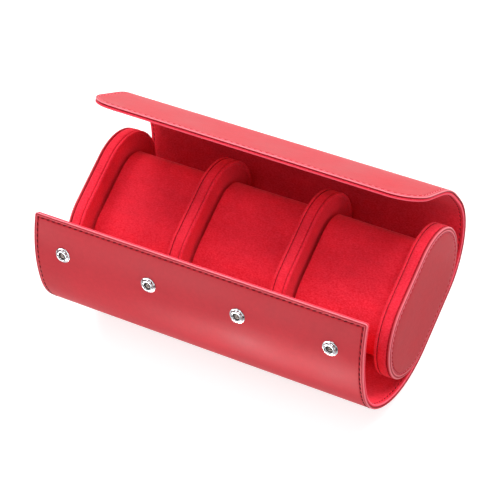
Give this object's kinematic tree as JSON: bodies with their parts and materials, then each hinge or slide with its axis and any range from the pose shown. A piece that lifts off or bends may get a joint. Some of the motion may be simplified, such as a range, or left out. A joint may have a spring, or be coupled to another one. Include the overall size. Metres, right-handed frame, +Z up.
{
  "type": "watch travel case",
  "caption": "Soft leather wrap case for wristwatches, with a snap-fastened front flap and lid over oval padded dividers and lift-out cushions.",
  "frame": {"origin": "on the floor, under the middle of the dividers", "axes": "+X along the case, +Y to the lid side, +Z up"},
  "size_m": [0.2046, 0.1272, 0.1047],
  "materials": {
    "leather": "satin full-grain leather",
    "suede": "soft nap",
    "thread": "matt",
    "board": "matt",
    "foam": "matt",
    "snap_metal": "polished"
  },
  "bodies": {
    "case_body": {"bottom_leather": "leather", "bottom_board": "board", "bottom_lining": "suede", "left_end_core": "board", "left_end_band": "suede", "left_end_inner_pad": "suede", "left_end_panel": "leather", "left_end_stitching": "thread", "left_divider_core": "board", "left_divider_band": "suede", "left_divider_left_pad": "suede", "left_divider_right_pad": "suede", "right_divider_core": "board", "right_divider_band": "suede", "right_divider_left_pad": "suede", "right_divider_right_pad": "suede", "right_end_core": "board", "right_end_band": "suede", "right_end_inner_pad": "suede", "right_end_panel": "leather", "right_end_stitching": "thread"},
    "front_wall": {"front_wall_leather": "leather", "front_wall_board": "board", "front_wall_lining": "suede", "front_wall_stitching": "thread"},
    "front_flap": {"front_flap_leather": "leather", "front_flap_board": "board", "front_flap_lining": "suede", "front_flap_stitching": "thread", "snap_studs": "snap_metal", "snap_stud_rivets": "snap_metal"},
    "back_wall": {"back_wall_leather": "leather", "back_wall_board": "board", "back_wall_lining": "suede", "back_wall_stitching": "thread"},
    "lid": {"lid_leather": "leather", "lid_board": "board", "lid_lining": "suede", "lid_stitching": "thread", "snap_sockets": "snap_metal", "snap_socket_rivets": "snap_metal"},
    "left_cushion": {"left_cushion_cover": "suede", "left_cushion_core": "foam", "left_cushion_caps": "suede"},
    "middle_cushion": {"middle_cushion_cover": "suede", "middle_cushion_core": "foam", "middle_cushion_caps": "suede"},
    "right_cushion": {"right_cushion_cover": "suede", "right_cushion_core": "foam", "right_cushion_caps": "suede"}
  },
  "joints": [
    {"name": "front_wall_fold", "type": "hinge", "parent": "case_body", "child": "front_wall", "pos_m": [0, -0.03925, 0.00668], "axis": [1, 0, 0], "range_deg": [-29, 45], "stiffness_Nm_per_rad": 1.5},
    {"name": "front_flap_fold", "type": "hinge", "parent": "front_wall", "child": "front_flap", "pos_m": [0, -0.06669, 0.0483], "axis": [1, 0, 0], "range_deg": [-21.5, 33.5], "stiffness_Nm_per_rad": 1.5},
    {"name": "back_wall_fold", "type": "hinge", "parent": "case_body", "child": "back_wall", "pos_m": [0, 0.03028, 0.00165], "axis": [-1, 0, 0], "range_deg": [-18.8, 28], "stiffness_Nm_per_rad": 1.5},
    {"name": "lid_fold", "type": "hinge", "parent": "back_wall", "child": "lid", "pos_m": [0, 0.05645, 0.05944], "axis": [-1, 0, 0], "range_deg": [-31.5, 47], "stiffness_Nm_per_rad": 1.5},
    {"name": "left_cushion_lift", "type": "slide", "parent": "case_body", "child": "left_cushion", "axis": [0, 0, 1], "range_m": [0, 0.045]},
    {"name": "middle_cushion_lift", "type": "slide", "parent": "case_body", "child": "middle_cushion", "axis": [0, 0, 1], "range_m": [0, 0.045]},
    {"name": "right_cushion_lift", "type": "slide", "parent": "case_body", "child": "right_cushion", "axis": [0, 0, 1], "range_m": [0, 0.045]}
  ],
  "couplings": [
    {"joint": "front_flap_fold", "follows": "front_wall_fold", "ratio": 0.74},
    {"joint": "lid_fold", "follows": "back_wall_fold", "ratio": 1.67}
  ]
}
